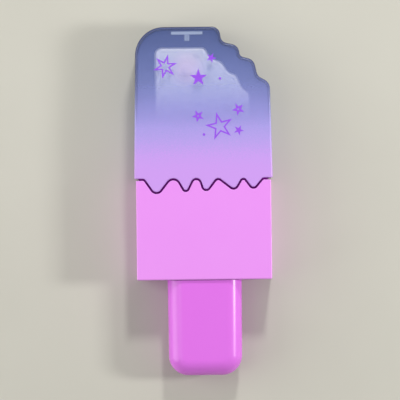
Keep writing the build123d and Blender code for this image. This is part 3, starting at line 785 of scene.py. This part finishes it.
# Shares of the tuft's length: how much sooner hairs end at its sides and at its faces, and
# the most that a random trim takes.
SIDE_TRIM, FACE_TRIM, RANDOM_TRIM = 0.22, 0.13, 0.05
# Outline of the tuft along its length: share of length, share of width, share of thickness.
TUFT_SECTIONS = np.array([
    (0.0, 0.90, 0.84),
    (0.16, 0.90, 0.84),
    (0.5, 0.97, 0.97),
    (0.76, 0.93, 0.86),
    (0.92, 0.80, 0.56),
    (1.0, 0.56, 0.26),
])


def make_hairs(material):
    """Tuft of hairs, each a closed three-sided tube that tapers to a fine end.

    A hair stands at (u, v) in the tuft's section, both from -1 to 1. Up the tuft it keeps its
    share of the section's width and thickness, and it ends sooner the nearer it is to the
    outside: end = 1 - SIDE_TRIM |u|^3 - FACE_TRIM v^2, less a random trim. Its radius at a
    share s of its length is HAIR_RADIUS (1 - HAIR_TAPER s^3)."""
    chance = np.random.default_rng(7)
    u = chance.uniform(-1, 1, HAIRS)
    v = chance.uniform(-1, 1, HAIRS)
    end = 1 - SIDE_TRIM * np.abs(u) ** 3 - FACE_TRIM * v**2 - chance.uniform(0, RANDOM_TRIM, HAIRS)
    share = np.linspace(0, 1, HAIR_RINGS)
    along = share * end[:, None]
    half_x = (tuft_high.x - tuft_low.x) / 2
    half_z = (tuft_high.z - tuft_low.z) / 2
    wide = np.interp(along, TUFT_SECTIONS[:, 0], TUFT_SECTIONS[:, 1]) * half_x
    thick = np.interp(along, TUFT_SECTIONS[:, 0], TUFT_SECTIONS[:, 2]) * half_z
    sway = along**2 * HAIR_SWAY
    x = u[:, None] * wide + sway * chance.normal(0, 1, (HAIRS, 1))
    z = v[:, None] * thick + sway * chance.normal(0, 1, (HAIRS, 1)) + (tuft_high.z + tuft_low.z) / 2
    x = np.clip(x, tuft_low.x + HAIR_RADIUS, tuft_high.x - HAIR_RADIUS)
    z = np.clip(z, tuft_low.z + HAIR_RADIUS, tuft_high.z - HAIR_RADIUS)
    y = tuft_low.y + along * (tuft_high.y - tuft_low.y)

    radius = HAIR_RADIUS * (1 - HAIR_TAPER * share**3)
    around = np.arange(HAIR_SIDES) * 2 * pi / HAIR_SIDES
    angle = chance.uniform(0, 2 * pi, HAIRS)[:, None] + around
    corner_x = x[:, :, None] + radius[:, None] * np.cos(angle)[:, None, :]
    corner_y = np.repeat(y[:, :, None], HAIR_SIDES, 2)
    corner_z = z[:, :, None] - radius[:, None] * np.sin(angle)[:, None, :]
    points = np.stack([corner_x, corner_y, corner_z], 3).reshape(-1, 3)

    first = np.arange(HAIRS)[:, None, None] * HAIR_RINGS * HAIR_SIDES
    last = (HAIR_RINGS - 1) * HAIR_SIDES
    sides = (ring_faces(HAIR_RINGS, HAIR_SIDES) + first).reshape(-1, 4)
    ends = (np.array([[2, 1, 0], [last, last + 1, last + 2]]) + first).reshape(-1, 3)
    tuft = add_mesh("bristle_tuft", points, [*sides, *ends], material, sharp_from=pi)
    shade = np.repeat(chance.uniform(0, 1, HAIRS), HAIR_RINGS * HAIR_SIDES)
    add_values(tuft, "hair_shade", shade)
    return tuft


# ---- finishes on the CAD pieces ------------------------------------------------------------
def box_frame(low, high):
    """Middle and half size of a box between two corners."""
    return tuple((low + high) / 2), tuple((high - low) / 2)


body_pink = moulded_material(
    "body_pink",
    colour=(0.84, 0.295, 0.91),
    pale=(0.93, 0.50, 0.96),
    box=box_frame(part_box("body_back")[0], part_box("body_front")[1]),
    roughness=0.40,
    grain_size=0.22 * MM,
    grain_depth=0.003 * MM,
    drift_by=0.10,
)
handle_pink = moulded_material(
    "handle_pink",
    colour=(0.775, 0.170, 0.83),
    pale=(0.87, 0.33, 0.90),
    box=box_frame(*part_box("brush_handle")),
    roughness=0.24,
    grain_size=0.5 * MM,
    grain_depth=0.002 * MM,
    drift_by=0.08,
)
tray_indigo = moulded_material(
    "tray_indigo",
    colour=(0.028, 0.034, 0.078),
    pale=(0.07, 0.08, 0.15),
    box=box_frame(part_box("tray_back")[0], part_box("tray_front")[1]),
    roughness=0.36,
    grain_size=0.22 * MM,
    grain_depth=0.003 * MM,
    drift_by=0.2,
    Specular_IOR_Level=0.25,
)
# The tray's foot near the seam is coloured dark plum: painted shade, with pink bounce light, in the
# seam's gap.
paint_shade_on_foot(
    tray_indigo, colour=(0.18, 0.002, 0.21), full_y=SEAM_Y + 3 * MM, end_y=SEAM_Y + 14 * MM
)
sleeve_white = moulded_material(
    "sleeve_white",
    colour=(0.76, 0.74, 0.78),
    pale=(0.85, 0.83, 0.87),
    box=box_frame(*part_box("brush_sleeve")),
    roughness=0.48,
    grain_size=0.3 * MM,
    grain_depth=0.004 * MM,
    drift_by=0.15,
)
FINISHES = {
    "body_front": body_pink,
    "body_back": body_pink,
    "brush_handle": handle_pink,
    "handle_plug": handle_pink,
    "tray_front": tray_indigo,
    "tray_back": tray_indigo,
    "brush_sleeve": sleeve_white,
    "cap_shell": make_sprayed_clear(),
    "cap_grip": make_clear_grip(),
    "friction_pads": make_soft_rubber("pad_rubber", (0.10, 0.09, 0.12), (0.15, 0.13, 0.17), 0.75),
    "pan_adhesive": make_soft_rubber("adhesive", (0.62, 0.58, 0.46), (0.72, 0.68, 0.56), 0.6),
    "bristle_glue": make_soft_rubber("glue_amber", (0.38, 0.26, 0.10), (0.50, 0.36, 0.16), 0.25),
    "powder_pan": make_bright_metal("pan_metal", (0.86, 0.86, 0.88), 0.30, 2 * MM),
    "ferrule": make_bright_metal("ferrule_metal", (0.88, 0.86, 0.89), 0.24, 3 * MM),
}
for node_name, finish in FINISHES.items():
    for material_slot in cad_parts[node_name].material_slots:
        material_slot.material = finish

cake = make_cake(make_powder())
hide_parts("pressed_powder")
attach(cake, "body")

stars = make_print(make_print_ink())
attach(stars, "cap")

hairs = make_hairs(make_fibre())
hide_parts("bristles")
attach(hairs, "brush")


# ---- floor, world, lamps and camera --------------------------------------------------------
FLOOR_REACH = 1.5  # in metres, to each side
FLOOR_DROP = 0.05 * MM  # below the face that the object rests on
FLOOR_SHADES = (0.555, 0.54, 0.47), (0.615, 0.60, 0.525)
FLOOR_PATCHES = 18.0  # of shade, to a metre
HORIZON_LIGHT = (0.47, 0.47, 0.47)
STICK_END_LIGHT = (0.25, 0.25, 0.25)  # horizon on the side of the stick's end
OVERHEAD_LIGHT = (0.25, 0.25, 0.25)
BACKDROP_LOW, BACKDROP_HIGH = (0.62, 0.61, 0.585), (0.36, 0.36, 0.35)
RISE_SPAN = (0.15, 0.95)  # Z of a direction: the horizon's light up to, overhead light from
STICK_END_SPAN = (-0.9, 0.3)  # Y of a direction: the stick end's light up to, plain from
LAMPS = [  # azimuth, elevation, distance, width, height, power in watts
    ("key", 80, 36, 0.6, 0.06, 0.06, 1.55),
    ("right_lamp", 0, 28, 0.6, 0.08, 0.08, 1.95),
    ("left_wall", 180, 20, 0.5, 0.5, 0.36, 1.4),
    ("left_sky", 180, 58, 0.5, 0.4, 0.24, 0.3),
]


def make_floor():
    """Plain pale floor, just below the face that the object rests on."""
    material, tree, shader, place = new_material("pale_floor", Roughness=0.9)
    drift = noise(tree, place, FLOOR_PATCHES, detail=3.0, roughness=0.5)
    feed(tree, shader, "Base Color", blend_colours(tree, drift, *FLOOR_SHADES))
    square = FLOOR_REACH * np.array([(-1, -1), (1, -1), (1, 1), (-1, 1)])
    floor = add_mesh("floor", at_height(square, -FLOOR_DROP), [(0, 1, 2, 3)], material)


def make_world():
    """Soft even light, behind a pale backdrop that the camera and reflections see."""
    world = bpy.data.worlds.new("studio")
    bpy.context.scene.world = world
    world.use_nodes = True
    tree = world.node_tree
    direction = put(tree, "SeparateXYZ", tree.nodes.new("ShaderNodeTexCoord").outputs["Generated"])
    rise = spread(tree, direction.outputs[2], *RISE_SPAN)
    off_stick_end = spread(tree, direction.outputs[1], *STICK_END_SPAN)
    horizon = blend_colours(tree, off_stick_end, STICK_END_LIGHT, HORIZON_LIGHT)
    soft = tree.nodes["Background"]
    tree.links.new(blend_colours(tree, rise, horizon, OVERHEAD_LIGHT), soft.inputs[0])
    backdrop = put(tree, "Background", None, 1.0)
    tree.links.new(blend_colours(tree, rise, BACKDROP_LOW, BACKDROP_HIGH), backdrop.inputs[0])
    path = tree.nodes.new("ShaderNodeLightPath").outputs
    seen = calc(tree, "MAXIMUM", path["Is Camera Ray"], path["Is Glossy Ray"])
    seen = calc(tree, "MAXIMUM", seen, path["Is Transmission Ray"])
    both = put(tree, "MixShader", seen, soft.outputs[0], backdrop.outputs[0])
    tree.links.new(both.outputs[0], tree.nodes["World Output"].inputs[0])


def add_lamp(name, azimuth, elevation, distance, width, height, power):
    """Area lamp aimed at the object. Azimuth runs from +X towards +Y, elevation from the floor."""
    lamp = bpy.data.lights.new(name, "AREA")
    lamp.shape = "RECTANGLE"
    lamp.size, lamp.size_y, lamp.energy = width, height, power
    piece = bpy.data.objects.new(name, lamp)
    turn, rise = radians(azimuth), radians(elevation)
    piece.location = (
        distance * cos(turn) * cos(rise),
        distance * sin(turn) * cos(rise),
        distance * sin(rise),
    )
    piece.rotation_mode = "QUATERNION"
    piece.rotation_quaternion = piece.location.to_track_quat("Z", "Y")
    bpy.context.scene.collection.objects.link(piece)


for lamp in LAMPS:
    add_lamp(*lamp)
make_floor()
make_world()

VIEW_CENTRE = (-1.27 * MM, SEAM_Y - 7.06 * MM)
VIEW_WIDTH = 136 * MM  # across the frame, at the front face
VIEW_HEIGHT = 0.8
VIEW_ROLL = radians(-0.68)
camera = bpy.data.objects.new("camera", bpy.data.cameras.new("camera"))
camera.location = (*VIEW_CENTRE, cap_high.z + VIEW_HEIGHT)
camera.rotation_euler = (0, 0, VIEW_ROLL)
camera.data.lens = camera.data.sensor_width * VIEW_HEIGHT / VIEW_WIDTH
camera.data.clip_start = 0.01
bpy.context.scene.collection.objects.link(camera)
bpy.context.scene.camera = camera
bpy.context.scene.view_settings.view_transform = "Standard"
